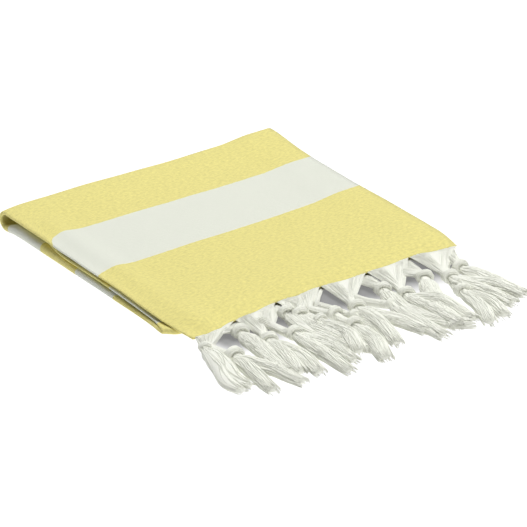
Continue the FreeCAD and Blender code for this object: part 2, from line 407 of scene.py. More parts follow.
@dataclass
class Cloth:
    """One sheet, folded once lengthwise on its left side, then wound flat into three leaves.

    Lengths are in millimetres until the surface is returned in metres. A row of the sheet runs across
    it, and the line of the leaves' middles runs from the showing hem over the top leaf, round the back
    fold, along the bottom leaf, round the front fold and along the inner leaf.
    """

    flat_width: float = 500.0
    folded_left: float = -125.0
    thickness: float = 0.6
    half_gap: float = 0.4
    hem_y: float = -111.0
    back_y: float = 105.0
    front_y: float = -109.5
    inner_end_y: float = 87.5
    bottom_height: float = 1.0
    front_radius: float = 1.7
    left_swell: Rise = Rise(1.7, 55.0, 110.0)
    right_swell: Rise = Rise(2.1, 200.0, 32.0)
    right_least: float = 0.45
    right_gain: Rise = Rise(0.55, 20.0, 60.0)
    swell_from_hem: Rise = Rise(1.0, 0.0, 30.0)
    swell_to_back: Rise = Rise(1.0, 4.0, 18.0)
    mound: Bell = Bell(2.6, 18.0, 11.0)
    mound_start: float = 4.0
    mound_least: float = 0.7
    mound_gain: Rise = Rise(0.3, 25.0, 50.0)
    mound_from_hem: Rise = Rise(1.0, 0.0, 12.0)
    mound_to_back: Rise = Rise(1.0, -40.0, 30.0)
    parting_from_hem: Rise = Rise(1.0, 0.0, 35.0)
    parting_from_fold: Rise = Rise(1.0, 0.0, 20.0)
    wave_height: float = 0.16
    wave_length: float = 60.0
    wave_seed: int = 5
    wave_from_fold: Rise = Rise(1.0, 0.0, 12.0)
    skew: float = 3.5
    skew_from_hem: Rise = Rise(1.0, 98.0, 55.0)
    bow: float = 5.0
    bow_width: float = 5.0
    bow_gain: Rise = Rise(9.0, 100.0, 60.0)
    bow_from_hem: Rise = Rise(1.0, 0.0, 60.0)
    bow_to_back: Rise = Rise(1.0, 185.0, 40.0)
    hem_forward: float = 3.6
    hem_reach: float = 45.0
    hem_parts: tuple[Bell | Rise, ...] = (
        Bell(7.5, 0.0, 34.0),
        Bell(3.0, 38.0, 25.0),
        Rise(4.0, 110.0, 60.0),
        Rise(6.8, 215.0, 35.0),
    )
    scallop_height: float = 0.8
    scallop_pitch: float = 41.7
    corner_across: Bell = Bell(8.0, 0.0, 6.0)
    corner_width: float = 18.0
    step: float = 0.25
    row_step: float = 3.4
    row_count: int = 250
    top_line: tuple[tuple[float, float], ...] = (
        (-111.0, 2.3),
        (-107.0, 4.2),
        (-101.0, 6.0),
        (-90.0, 6.8),
        (-60.0, 7.2),
        (-10.0, 7.7),
        (20.0, 8.5),
        (53.0, 9.9),
        (75.0, 11.8),
        (90.0, 14.0),
        (98.0, 15.1),
        (105.0, 15.6),
    )
    inner_line: tuple[tuple[float, float], ...] = (
        (-109.5, 4.4),
        (-95.0, 4.3),
        (-70.0, 3.6),
        (0.0, 3.4),
        (50.0, 4.2),
        (87.5, 5.0),
    )
    edges: tuple[Edge, ...] = (
        Edge(Leaf.TOP, -111.0, 3.6, 0.6, -119.5, 14.0),
        Edge(Leaf.TOP, -102.0, 5.0, 0.5, -122.5, 14.0),
        Edge(Leaf.TOP, -90.0, 5.7, 0.5, -124.5, 14.0),
        Edge(Leaf.TOP, -69.5, 7.0, 0.5, -125.0, 14.0),
        Edge(Leaf.TOP, -32.0, 9.3, 0.5, -125.0, 14.0),
        Edge(Leaf.TOP, 6.0, 10.0, 0.5, -125.0, 14.0),
        Edge(Leaf.TOP, 32.0, 10.8, 0.5, -125.0, 14.0),
        Edge(Leaf.TOP, 45.0, 11.1, 0.6, -125.0, 14.0),
        Edge(Leaf.TOP, 66.0, 12.2, 0.8, -125.0, 14.0),
        Edge(Leaf.TOP, 85.0, 12.8, 0.9, -125.0, 14.0),
        Edge(Leaf.TOP, 98.0, 13.3, 1.1, -125.0, 16.0),
        Edge(Leaf.BOTTOM, 104.0, 3.0, 2.6, -125.0, 28.0),
        Edge(Leaf.BOTTOM, 96.0, 4.6, 4.2, -125.0, 36.0),
        Edge(Leaf.BOTTOM, 85.0, 5.1, 4.7, -125.0, 40.0),
        Edge(Leaf.BOTTOM, 71.5, 4.6, 4.2, -125.0, 40.0),
        Edge(Leaf.BOTTOM, 50.0, 4.2, 3.8, -125.2, 36.0),
        Edge(Leaf.BOTTOM, 32.0, 3.9, 3.5, -125.4, 34.0),
        Edge(Leaf.BOTTOM, 6.0, 3.1, 2.7, -125.6, 30.0),
        Edge(Leaf.BOTTOM, -19.0, 2.6, 2.2, -125.8, 26.0),
        Edge(Leaf.BOTTOM, -38.0, 2.0, 1.6, -126.0, 22.0),
        Edge(Leaf.BOTTOM, -69.0, 1.4, 1.0, -126.5, 18.0),
        Edge(Leaf.BOTTOM, -94.0, 1.5, 1.1, -128.0, 18.0),
        Edge(Leaf.BOTTOM, -106.0, 2.2, 1.3, -129.6, 18.0),
        Edge(Leaf.INNER, -106.0, 4.4, 0.6, -128.6, 18.0),
        Edge(Leaf.INNER, -94.0, 4.3, 0.5, -126.3, 18.0),
        Edge(Leaf.INNER, -69.5, 5.1, 0.7, -124.8, 18.0),
        Edge(Leaf.INNER, -32.0, 7.2, 0.9, -124.6, 22.0),
        Edge(Leaf.INNER, -20.0, 7.8, 0.7, -124.6, 24.0),
        Edge(Leaf.INNER, 6.0, 8.3, 0.7, -124.6, 26.0),
        Edge(Leaf.INNER, 32.0, 9.2, 0.5, -124.5, 28.0),
        Edge(Leaf.INNER, 46.0, 8.8, 0.6, -122.0, 28.0),
        Edge(Leaf.INNER, 62.0, 7.6, 0.7, -118.0, 26.0),
        Edge(Leaf.INNER, 87.5, 6.0, 0.7, -116.0, 24.0),
    )
    stripe_marks: tuple[tuple[Leaf, float], ...] = (
        (Leaf.TOP, -9.5),
        (Leaf.TOP, 53.0),
        (Leaf.BOTTOM, 103.0),
        (Leaf.BOTTOM, 58.5),
        (Leaf.BOTTOM, 12.5),
        (Leaf.BOTTOM, -34.6),
        (Leaf.INNER, -98.0),
        (Leaf.INNER, -33.0),
    )
    line: np.ndarray = field(init=False)
    run: np.ndarray = field(init=False)
    marks: dict[Leaf, tuple[int, int]] = field(init=False)

    def __post_init__(self) -> None:
        """Lay out the line of the leaves' middles and measure its length.

        The top and inner leaves follow their stations' heights, and each fold is half a circle.
        """
        top_y = np.arange(self.hem_y, self.back_y, self.step)
        top = np.stack([top_y, flowing(top_y, *zip(*self.top_line))], axis=1)
        back = self.fold(self.back_y, (self.top_line[-1][1] - self.bottom_height) / 2, 0.5, -0.5)
        bottom_y = np.arange(self.back_y - self.step, self.front_y, -self.step)
        bottom = np.stack([bottom_y, np.full_like(bottom_y, self.bottom_height)], axis=1)
        front = self.fold(self.front_y, self.front_radius, -0.5, -1.5)
        inner_y = np.arange(self.front_y + self.step, self.inner_end_y, self.step)
        inner = np.stack([inner_y, flowing(inner_y, *zip(*self.inner_line))], axis=1)
        self.line = np.concatenate([top, back, bottom, front, inner])
        steps = np.hypot(*np.diff(self.line, axis=0).T)
        self.run = np.concatenate([[0.0], np.cumsum(steps)])
        ends = np.cumsum([0, len(top), len(back), len(bottom), len(front), len(inner)])
        self.marks = {
            Leaf.TOP: (ends[0], ends[1]),
            Leaf.BOTTOM: (ends[2], ends[3]),
            Leaf.INNER: (ends[4], ends[5]),
        }

    def fold(self, y: float, radius: float, start: float, stop: float) -> np.ndarray:
        """Half a circle that stands on the bottom leaf's middle.

        Args:
            y: the circle's middle.
            radius: its radius.
            start: its first angle, in half turns.
            stop: its last angle.

        Returns:
            Points (Y, Z) along it.
        """
        turn = np.linspace(start, stop, max(8, int(np.pi * radius / self.step))) * np.pi
        return np.stack([
            y + radius * np.cos(turn),
            self.bottom_height + radius * (1 + np.sin(turn)),
        ], axis=1)

    @property
    def length(self) -> float:
        """The sheet's flat length, along the line of the leaves' middles."""
        return float(self.run[-1])

    @property
    def stripes(self) -> tuple[float, ...]:
        """Each stripe's width in metres, from the showing hem."""
        places = [0.0] + [self.place(leaf, y) for leaf, y in self.stripe_marks] + [self.length]
        return tuple(float(width) for width in np.diff(places) * MM)

    def place(self, leaf: Leaf, y: float) -> float:
        """How far along the sheet a place of a leaf is.

        Args:
            leaf: which leaf.
            y: the place, in the towel's frame.

        Returns:
            The length along the sheet from the showing hem.
        """
        first, last = self.marks[leaf]
        way = -1.0 if leaf is Leaf.BOTTOM else 1.0
        return float(np.interp(way * y, way * self.line[first:last, 0], self.run[first:last]))

    def middle(self, along: np.ndarray) -> tuple[np.ndarray, np.ndarray]:
        """The leaves' middle at lengths along the sheet, and the way out of the winding there.

        Args:
            along: lengths along the sheet.

        Returns:
            Points (Y, Z), and unit vectors a quarter turn left of the line's direction.
        """
        point = np.stack([np.interp(along, self.run, self.line[:, k]) for k in (0, 1)], axis=-1)
        ahead = np.stack([np.interp(along + 0.4, self.run, self.line[:, k]) for k in (0, 1)], axis=-1)
        behind = np.stack([np.interp(along - 0.4, self.run, self.line[:, k]) for k in (0, 1)], axis=-1)
        way = ahead - behind
        way /= np.linalg.norm(way, axis=-1, keepdims=True)
        return point, np.stack([-way[..., 1], way[..., 0]], axis=-1)

    def edge_values(self, along: np.ndarray) -> np.ndarray:
        """The lengthwise fold's lift off the middle line, radius, X and reach at lengths along the sheet.

        Args:
            along: lengths along the sheet.

        Returns:
            Four values for each length, flowing from station to station.
        """
        places = np.array([self.place(edge.leaf, edge.y) for edge in self.edges])
        point, out = self.middle(places)
        heights = np.array([edge.height for edge in self.edges])
        lift = (heights - point[:, 1]) * np.sign(out[:, 1])
        table = np.stack([
            lift,
            [edge.radius for edge in self.edges],
            [edge.x for edge in self.edges],
            [edge.reach for edge in self.edges],
        ], axis=1)
        return flowing(along, places, table)

    def swell(self, from_left: np.ndarray, along: np.ndarray, outer: np.ndarray) -> np.ndarray:
        """How far the top leaf stands off its middle line, as cloth over springy folds does.

        It is a broad low swell on the left, a rise towards the selvedges, and on the outer layer a mound
        beside the lengthwise fold, which starts from nothing at the fold itself.

        Args:
            from_left: distance from the lengthwise fold.
            along: length along the sheet.
            outer: true on the outer layer.

        Returns:
            Heights in millimetres.
        """
        past_back = along - self.run[self.marks[Leaf.TOP][1] - 1]
        whole = self.swell_from_hem.at(along) * self.swell_to_back.left(past_back)
        right = self.right_swell.at(from_left) * (self.right_least + self.right_gain.at(along))
        mound = self.mound.at(from_left) * (1 - np.exp(-from_left / self.mound_start))
        mound = mound * self.mound_to_back.left(past_back) * self.mound_from_hem.at(along)
        mound = mound * (self.mound_least + self.mound_gain.at(along))
        return whole * (self.left_swell.left(from_left) + right) + outer * mound

    def drawn(self, from_left: np.ndarray, along: np.ndarray) -> np.ndarray:
        """How far the sheet lies back of its plain winding, in Y.

        The front of the top leaf is turned a little, and its lengthwise fold is bowed forward. The showing
        hem is drawn forward most at its corners and scalloped between tassels. The front fold's left corner
        is drawn back.

        Args:
            from_left: distance from the lengthwise fold.
            along: length along the sheet.

        Returns:
            Lengths in millimetres, less than nothing where the sheet lies further forward.
        """
        shift = self.skew * (4 * from_left / self.flat_width - 1) * self.skew_from_hem.left(along)
        bow = (self.bow + self.bow_gain.at(along)) * self.bow_from_hem.at(along)
        bow = bow * self.bow_to_back.left(along)
        shift = shift - bow * np.exp(-from_left / self.bow_width)
        hem = self.scallop_height * np.cos(2 * np.pi * from_left / self.scallop_pitch) - self.hem_forward
        hem = hem - sum(part.at(from_left) for part in self.hem_parts)
        shift = shift + hem * np.clip(1 - along / self.hem_reach, 0, 1) ** 2
        front_fold = (self.run[self.marks[Leaf.BOTTOM][1]] + self.run[self.marks[Leaf.INNER][0]]) / 2
        return shift + self.corner_across.at(from_left) * Bell(1.0, front_fold, self.corner_width).at(along)

    def surface(self, across: np.ndarray, along: np.ndarray) -> np.ndarray:
        """Where a point of the flat sheet comes to lie.

        Across the sheet a leaf's section is a hairpin: half a circle round the lengthwise fold, and then
        two layers that draw together from the circle's ends to a thin gap, while the section's middle
        settles from the fold's height to the leaf's own.

        Args:
            across: lengths across the sheet, from the outer layer's selvedge.
            along: lengths along it, from the showing hem.

        Returns:
            Points in metres.
        """
        across, along = np.broadcast_arrays(np.asarray(across, float), np.asarray(along, float))
        half = self.flat_width / 2
        side = np.where(across <= half, Layer.OUTER.value, Layer.INNER.value)
        away = np.abs(across - half)
        point, out = self.middle(along)
        lift, radius, nose, reach = np.moveaxis(self.edge_values(along), -1, 0)

        turn = np.minimum(away / radius, np.pi / 2)
        past = np.maximum(away - radius * np.pi / 2, 0.0)
        settle = (1 - np.clip(past / reach, 0, 1)) ** 2
        spread = self.half_gap + self.parting_from_hem.left(along) * self.parting_from_fold.at(past)
        gap = spread + (radius - spread) * settle
        off = side * np.where(past > 0, gap, radius * np.sin(turn))
        from_left = radius * (1 - np.cos(turn)) + past
        x = self.folded_left + from_left + (nose - self.folded_left) * (1 - from_left / half)
        off = off + lift * settle + self.swell(from_left, along, side > 0)
        waves = self.wave_height * ripple(x * MM, along * MM, self.wave_length * MM, self.wave_seed)
        off = off + waves * self.wave_from_fold.at(away)

        y = point[..., 0] + out[..., 0] * off + self.drawn(from_left, along)
        z = point[..., 1] + out[..., 1] * off
        z = np.maximum(z, self.thickness / 2 + 0.05)
        return np.stack([x, y, z], axis=-1) * MM

    def build(self, material: bpy.types.Material) -> bpy.types.Object:
        """Make the sheet as one grid of rows and columns, finer at the folds, and give it its thickness.

        Args:
            material: the striped finish.

        Returns:
            The finished cloth.
        """
        half = self.flat_width / 2
        away = np.concatenate([
            np.linspace(0.0, 3.0, 7),
            np.linspace(3.0, 40.0, 20)[1:],
            np.linspace(40.0, half, 42)[1:],
        ])
        columns = np.concatenate([half - away[::-1], half + away[1:]])
        back_fold = self.run[self.marks[Leaf.BOTTOM][0]]
        front_fold = self.run[self.marks[Leaf.INNER][0]]
        fine = np.arange(0.0, self.length, 0.5)
        closer = (Bell(0.9, back_fold - 11, 14), Bell(1.5, front_fold - 2.7, 6), Bell(0.4, 0.0, 12))
        count = np.cumsum(1 / self.row_step + sum(part.at(fine) for part in closer))
        rows = np.interp(np.linspace(count[0], count[-1], self.row_count), count, fine)
        rows[-1] = self.length
        u, v = np.meshgrid(columns, rows)
        points = self.surface(u, v).reshape(-1, 3)
        uv = np.stack([u, v], axis=-1).reshape(-1, 2) * MM
        wide = len(columns)
        corner = (np.arange(len(rows) - 1)[:, None] * wide + np.arange(wide - 1)[None, :]).ravel()
        quads = np.stack([corner, corner + wide, corner + wide + 1, corner + 1], axis=1)
        piece = make_piece("towel_cloth", points, [quads], uv, material)
        solid = piece.modifiers.new("thickness", "SOLIDIFY")
        solid.thickness = self.thickness * MM
        solid.offset = 0.0
        solid.use_even_offset = False
        return piece


# ---------------------------------------------------------------- the fringe

Point = tuple[float, float]


class Pile:
    """The heights of what already lies before the cloth, on a grid, so that yarn can lie on yarn."""

    def __init__(self, cell: float = 1.0, press: float = 0.5) -> None:
        """Start with a bare floor. Pressed yarn keeps only the share called press of its height."""
        self.cell = cell
        self.press = press
        self.low = np.array([-170.0, -270.0])
        self.height = np.zeros((340, 300))

    def index(self, points: np.ndarray) -> tuple[np.ndarray, np.ndarray]:
        """Which cells hold some points."""
        cells = np.rint((points[..., :2] - self.low) / self.cell).astype(int)
        return (
            np.clip(cells[..., 0], 0, self.height.shape[0] - 1),
            np.clip(cells[..., 1], 0, self.height.shape[1] - 1),
        )

    def under(self, points: np.ndarray) -> np.ndarray:
        """How high the pressed pile is under some points."""
        return self.press * self.height[self.index(points)]

    def lay(self, points: np.ndarray) -> None:
        """Raise the pile to new points, then soften it to its neighbours' mean.

        Args:
            points: points on top of new yarn, in millimetres.
        """
        np.maximum.at(self.height, self.index(points), points[..., 2])
        soft = self.height.copy()
        for axis in (0, 1):
            soft = (np.roll(soft, 1, axis) + 2 * soft + np.roll(soft, -1, axis)) / 4
        self.height = np.maximum(soft, 0.9 * self.height)


def tube_faces(count: int, rings: int, sides: int) -> tuple[np.ndarray, np.ndarray]:
    """Corner numbers of closed tubes that are stored tube by tube and ring by ring.

    Args:
        count: how many tubes.
        rings: rings in each.
        sides: corners in each ring.

    Returns:
        The walls' four-sided faces, and two end faces for each tube.
    """
    tube = np.arange(count)[:, None, None] * rings * sides
    ring = np.arange(rings - 1)[None, :, None] * sides
    here = np.arange(sides)[None, None, :]
    after = (here + 1) % sides
    base = tube + ring
    quads = np.stack([base + here, base + sides + here, base + sides + after, base + after], axis=-1)
    first = tube[:, 0] + np.arange(sides)[None, :]
    last = tube[:, 0] + (rings - 1) * sides + np.arange(sides)[None, ::-1]
    return quads.reshape(-1, 4), np.concatenate([first, last])


@dataclass
class YarnMesh:
    """Gathers tubes of yarn into one piece."""

    corners: list[np.ndarray] = field(default_factory=list)
    quads: list[np.ndarray] = field(default_factory=list)
    ends: dict[int, list[np.ndarray]] = field(default_factory=dict)
    lays: list[np.ndarray] = field(default_factory=list)
    total: int = 0

    def add(self, rings: np.ndarray, shift: np.ndarray) -> None:
        """Add tubes from their rings of corners.

        Args:
            rings: (tubes, rings, sides, 3) corners in millimetres, counter-clockwise about the tube's way.
            shift: each tube's own start for its surface lengths, in metres.
        """
        count, length, sides = rings.shape[:3]
        rings = rings.copy()
        rings[..., 2] = np.maximum(rings[..., 2], 0.08)
        quads, ends = tube_faces(count, length, sides)
        middle = rings.mean(axis=2)
        steps = np.linalg.norm(np.diff(middle, axis=1), axis=2)
        along = np.concatenate([np.zeros((count, 1)), np.cumsum(steps, axis=1)], axis=1)
        girth = np.linalg.norm(rings[:, :, 0] - rings[:, :, 1], axis=-1).mean(axis=1) * sides / 2
        around = (1 - np.abs(np.arange(sides) * 2 / sides - 1))[None, :] * girth[:, None]
        lay = np.stack(np.broadcast_arrays(
            around[:, None, :] * MM + shift[:, None, None],
            along[:, :, None] * MM + 7.3 * shift[:, None, None],
        ), axis=-1)
        self.corners.append(rings.reshape(-1, 3) * MM)
        self.lays.append(lay.reshape(-1, 2))
        self.quads.append(quads + self.total)
        self.ends.setdefault(sides, []).append(ends + self.total)
        self.total += count * length * sides

    def piece(self, name: str, material: bpy.types.Material) -> bpy.types.Object:
        """Make the piece from everything added."""
        groups = [np.concatenate(self.quads)] + [np.concatenate(ends) for ends in self.ends.values()]
        return make_piece(name, np.concatenate(self.corners), groups, np.concatenate(self.lays), material)


def strand_rings(points: np.ndarray, radius: np.ndarray, upright: np.ndarray, sides: int) -> np.ndarray:
    """Rings of corners square to thin strands' paths.

    Args:
        points: (strands, points, 3) path points in millimetres.
        radius: (strands, points) radii.
        upright: a direction that is never along the paths.
        sides: corners in a ring.

    Returns:
        (strands, points, sides, 3) corners.
    """
    way = np.gradient(points, axis=1)
    way /= np.linalg.norm(way, axis=2, keepdims=True) + 1e-9
    across = np.cross(way, upright)
    across /= np.linalg.norm(across, axis=2, keepdims=True) + 1e-9
    up = np.cross(across, way)
    turn = np.arange(sides) * 2 * np.pi / sides
    ring = (
        across[:, :, None, :] * np.cos(turn)[None, None, :, None]
        + up[:, :, None, :] * np.sin(turn)[None, None, :, None]
    )
    return points[:, :, None, :] + ring * radius[:, :, None, None]


@dataclass
class Rope:
    """A soft bundle of yarns: its line, and at each point two ways across it and its half sizes."""

    middle: np.ndarray
    side: np.ndarray
    up: np.ndarray
    wide: np.ndarray
    high: np.ndarray

    def around(self, share: np.ndarray, angle: np.ndarray, out: np.ndarray) -> np.ndarray:
        """Points in the bundle: on its line at a share of its length, then out at an angle round its oval.

        Args:
            share: shares of the line's length, from 0 to 1.
            angle: angles round the oval.
            out: shares of the way from its middle to its skin.

        Returns:
            Points in millimetres, one for each of the broadcast values.
        """
        share, angle, out = np.broadcast_arrays(share, angle, out)
        place = np.clip(share, 0, 1) * (len(self.middle) - 1)
        low = np.minimum(place.astype(int), len(self.middle) - 2)
        part = (place - low)[..., None]
        table = np.concatenate([
            self.middle,
            self.side * self.wide[:, None],
            self.up * self.high[:, None],
        ], axis=1)
        values = table[low] * (1 - part) + table[low + 1] * part
        return (
            values[..., :3]
            + values[..., 3:6] * (np.cos(angle) * out)[..., None]
            + values[..., 6:] * (np.sin(angle) * out)[..., None]
        )

    def core(self, share: np.ndarray, out: np.ndarray, sides: int) -> np.ndarray:
        """The rings of a solid soft core.

        Args:
            share: where its rings lie along the line.
            out: each ring's size, as a share of the bundle's.
            sides: corners in a ring.

        Returns:
            (1, rings, sides, 3) corners.
        """
        turn = np.arange(sides) * 2 * np.pi / sides
        return self.around(share[:, None], turn[None, :], out[:, None])[None]


@dataclass(frozen=True)
class Bundle:
    """Part of a tassel, in millimetres: where its gathering, its knots and its tails' bends lie."""

    knots: tuple[Point, ...]
    tails: tuple[tuple[Point, ...], ...]
    lead: tuple[Point, ...] = ()
    share: float = 1.0
    knot_size: float = 1.0
    lift: float = 0.0


@dataclass
class Tassel:
    """One gathered group of warp ends: a fan from the hem to a knot, and frayed tails past the last knot."""

    row: str
    number: int
    roots: np.ndarray
    bundles: tuple[Bundle, ...]
    seed: int
    strand_radius: float = 0.34
    above_share: float = 0.8
    knot_reach: float = 5.0
    neck_wide: float = 3.3
    neck_high: float = 2.7
    tail_wide: float = 7.2
    tail_high: float = 4.1
    tip_high: float = 2.9
    flare: float = 13.0
    loop_wide: float = 5.0
    loop_high: float = 3.3
    loop_radius: float = 2.3
    rings: int = 16
    settle: bool = True
    base: float = 0.0

    @property
    def name(self) -> str:
        """The piece's name."""
        return f"tassel_{self.row}_{self.number}"

    @property
    def node(self) -> str:
        """The name of the plain solid that it stands for."""
        return f"{self.row}_tassel_{self.number}"

    def rope(self, bundle: Bundle, tail: tuple[Point, ...], pile: Pile) -> tuple[Rope, np.ndarray]:
        """The line of one tail, from the bundle's gathering through its knots to the tip, lying on the pile.

        The half width is the neck's as far as the last knot, then widens over the flare's length. The half
        height does the same and thins towards the tip.

        Args:
            bundle: the bundle the tail belongs to.
            tail: the tail's bends and tip.
            pile: what it lies on.

        Returns:
            The rope, and its knots' shares of its length.
        """
        stops = np.array([*bundle.lead, *bundle.knots, *tail], float)
        reach = np.concatenate([[0.0], np.cumsum(np.linalg.norm(np.diff(stops, axis=0), axis=1))])
        share = np.linspace(0, 1, 60)
        line = flowing(share * reach[-1], reach, stops)
        knots = reach[len(bundle.lead) : len(bundle.lead) + len(bundle.knots)]
        past = share * reach[-1] - knots[-1]
        opened = eased((past - 1.5) / self.flare)
        half_tail = 0.5 * (reach[-1] - knots[-1])
        ending = eased((past - half_tail) / half_tail)
        full = self.tail_wide * (0.86 if len(bundle.tails) > 1 else 1.0)
        wide = self.neck_wide + (full - self.neck_wide) * opened
        high = self.neck_high + (self.tail_high - self.neck_high) * opened
        high = high * (1 - ending) + self.tip_high * ending
        wide = wide * (1 - 0.12 * ending)
        off_knot = (share * reach[-1])[:, None] - knots[None, :]
        knotted = np.max(Bell(1.0, 0.0, self.knot_reach).at(off_knot), axis=1)
        way = np.gradient(line, axis=0)
        way /= np.linalg.norm(way, axis=1, keepdims=True)
        side = np.stack([way[:, 1], -way[:, 0], np.zeros(len(way))], axis=1) * -1.0
        floor = np.full(len(line), self.base)
        if self.settle:
            aside = wide[:, None, None] * np.array([-0.5, 0, 0.5])[:, None]
            lanes = line[:, None, :] + side[:, None, :2] * aside
            floor = pile.under(lanes).mean(axis=1)
            for _ in range(4):
                padded = np.concatenate([floor[:1], floor, floor[-1:]])
                floor = (padded[:-2] + 2 * padded[1:-1] + padded[2:]) / 4
        height = floor + np.maximum(high, knotted * (self.loop_high + 0.8 * self.loop_radius))
        height = height + bundle.lift * (1 - eased(past / 30))
        middle = np.concatenate([line, height[:, None]], axis=1)
        up = np.tile([0.0, 0.0, 1.0], (len(line), 1))
        return Rope(middle, side, up, wide, high), knots / reach[-1]

    def knot_loop(self, rope: Rope, at: float, slide: float, slant: float, size: float) -> Rope:
        """One thick turn of yarn round the bundle at a knot, slid along it by a sine so that it lies aslant.

        Args:
            rope: the bundle.
            at: the knot's share of the bundle's length.
            slide: how far along the bundle the turn lies.
            slant: how far its sides lean forward and back.
            size: the knot's size against the tassel's usual one.

        Returns:
            The turn, as a rope of its own.
        """
        ends = rope.around(np.array([max(at - 0.02, 0.0), at, at + 0.02]), np.zeros(3), np.zeros(3))
        way = ends[2] - ends[0]
        way[2] = 0.0
        way /= np.linalg.norm(way)
        side = np.array([-way[1], way[0], 0.0])
        up = np.array([0.0, 0.0, 1.0])
        angle = np.linspace(-0.6 * np.pi, 1.55 * np.pi, 30)
        out = side * np.cos(angle)[:, None] + up * np.sin(angle)[:, None]
        middle = ends[1] + side * (size * self.loop_wide * np.cos(angle))[:, None]
        middle = middle + up * (size * self.loop_high * np.sin(angle))[:, None]
        middle = middle + way * (size * (slide + slant * np.sin(angle - 0.5) + 0.5 * angle / np.pi))[:, None]
        thick = size * self.loop_radius * (0.9 + 0.1 * np.cos(angle - 1.2))
        return Rope(middle, out, np.tile(way, (30, 1)), thick * 0.9, thick * 1.15)

    def build(self, pile: Pile, material: bpy.types.Material) -> bpy.types.Object:
        """Make the tassel as one piece: soft cores, strands over them and in the fan, and turns at the knots.

        Args:
            pile: what it comes to lie on, raised by this tassel afterwards.
            material: the yarn's finish.

        Returns:
            The finished tassel.
        """
        chance = np.random.default_rng(self.seed)
        mesh = YarnMesh()
        tops: list[np.ndarray] = []
        shares = np.array([bundle.share for bundle in self.bundles])
        cuts = np.rint(np.concatenate([[0], np.cumsum(shares / shares.sum())]) * len(self.roots)).astype(int)
        for bundle, first, last in zip(self.bundles, cuts[:-1], cuts[1:]):
            splits = np.linspace(first, last, len(bundle.tails) + 1).astype(int)
            self.lay_fan(mesh, self.rope(bundle, bundle.tails[0], pile)[0], self.roots[first:last], chance)
            for number, tail in enumerate(bundle.tails):
                rope, knots = self.rope(bundle, tail, pile)
                own_roots = self.roots[splits[number] : splits[number + 1]]
                tops.append(self.lay_tail(mesh, rope, own_roots, knots, chance))
                if number == 0:
                    for at in knots:
                        for slide, slant in ((-1.6, 1.7), (1.7, -1.5)):
                            turn = self.knot_loop(rope, float(at), slide, slant, bundle.knot_size)
                            self.lay_loop(mesh, turn, chance)
        piece = mesh.piece(self.name, material)
        if self.settle:
            for top in tops:
                pile.lay(top)
        return piece

    def lay_tail(
        self,
        mesh: YarnMesh,
        rope: Rope,
        roots: np.ndarray,
        knots: np.ndarray,
        chance: np.random.Generator,
    ) -> np.ndarray:
        """Add one tail's core and strands, and the part of the fan that leads to it.

        Each strand goes straight from its root to its own place in the bundle's oval, keeps near that place
        with a slow wander, and ends at its own length.

        Args:
            mesh: what to add to.
            rope: the tail's line.
            roots: where its strands leave the hem.
            knots: the knots' shares of its length.
            chance: the tassel's seeded chance.

        Returns:
            Points over the tail's top, for the pile.
        """
        count = len(roots)
        share = np.linspace(0, 1, self.rings)[None, :]
        length = 1 - 0.05 * chance.uniform(0, 1, (count, 1)) ** 1.5
        own = share * length
        above = chance.uniform(0, 1, count) < self.above_share
        angle = np.where(above, chance.uniform(-0.1, 1.1, count), chance.uniform(-1, 0, count))
        order = np.argsort(np.cos(angle * np.pi))
        angle = (angle[order] * np.pi)[:, None]
        reach = chance.uniform(0.91, 0.99, (count, 1))
        start = chance.uniform(0, 2 * np.pi, (4, count, 1))
        pace = chance.uniform(0.5, 1.6, (2, count, 1))
        loose = eased((own - knots[-1]) / 0.25)
        angle = angle + 0.25 * loose * np.sin(2 * np.pi * pace[0] * own + start[0])
        out = reach + 0.05 * loose * np.sin(4 * np.pi * pace[1] * own + start[1])
        out = out + 0.05 * loose * own**3 * np.sin(start[2])
        path = rope.around(own, angle, out)
        path = path + 0.12 * loose[..., None] * np.stack([
            np.sin(22 * pace[0] * own + start[3]),
            np.cos(19 * pace[1] * own + start[2]),
            0.6 * np.sin(25 * pace[1] * own + start[1]),
        ], axis=-1)
        part = np.array([0.0, 0.25, 0.5, 0.75])[None, :, None]
        fan = roots[:, None, :] * (1 - part) + path[:, :1] * part
        bow = np.sin(np.pi * part[..., 0])
        fan[..., 2] += 0.2 * np.sin(angle[:, :1]) + bow * chance.uniform(-0.1, 0.7, (count, 1))
        fan[..., 0] += bow * chance.uniform(-0.5, 0.5, (count, 1))
        points = np.concatenate([fan, path], axis=1)
        radius = np.full(points.shape[:2], self.strand_radius) * chance.uniform(0.75, 1.15, (count, 1))
        radius[:, :4] *= np.array([0.55, 0.65, 0.75, 0.9])
        radius[:, -2:] *= np.array([0.95, 0.7])
        mesh.add(strand_rings(points, radius, np.array([0.0, 0.0, 1.0]), 4), chance.uniform(0, 1, count))

        along = np.linspace(0.0, 0.96, 20)
        size = np.full(20, 0.95)
        size[[-3, -2, -1]] = [0.93, 0.85, 0.55]
        core = rope.core(along, size, 12)
        mesh.add(core, chance.uniform(0, 1, 1))
        lanes = np.linspace(0, np.pi, 9)
        return rope.around(np.linspace(0.05, 1, 90)[:, None], lanes[None, :], np.ones((1, 1)))

    def lay_fan(self, mesh: YarnMesh, rope: Rope, roots: np.ndarray, chance: np.random.Generator) -> None:
        """Add the body of a bundle's fan: a flat oval as wide as its roots that narrows into the bundle.

        Args:
            mesh: what to add to.
            rope: the bundle.
            roots: where its strands leave the hem.
            chance: the tassel's seeded chance.
        """
        turn = np.arange(16) * 2 * np.pi / 16
        hem = (roots[0] + roots[-1]) / 2 + np.cos(turn)[:, None] * (roots[-1] - roots[0]) / 2
        hem = hem + np.array([0.0, 0.0, 0.3]) * (np.sin(turn)[:, None] - 0.4)
        neck = rope.around(np.zeros(1), turn, np.full(1, 0.95))
        part = np.linspace(0, 1, 7)[:, None, None]
        drawn = part ** 1.15
        mesh.add((hem * (1 - drawn) + neck * drawn)[None], chance.uniform(0, 1, 1))

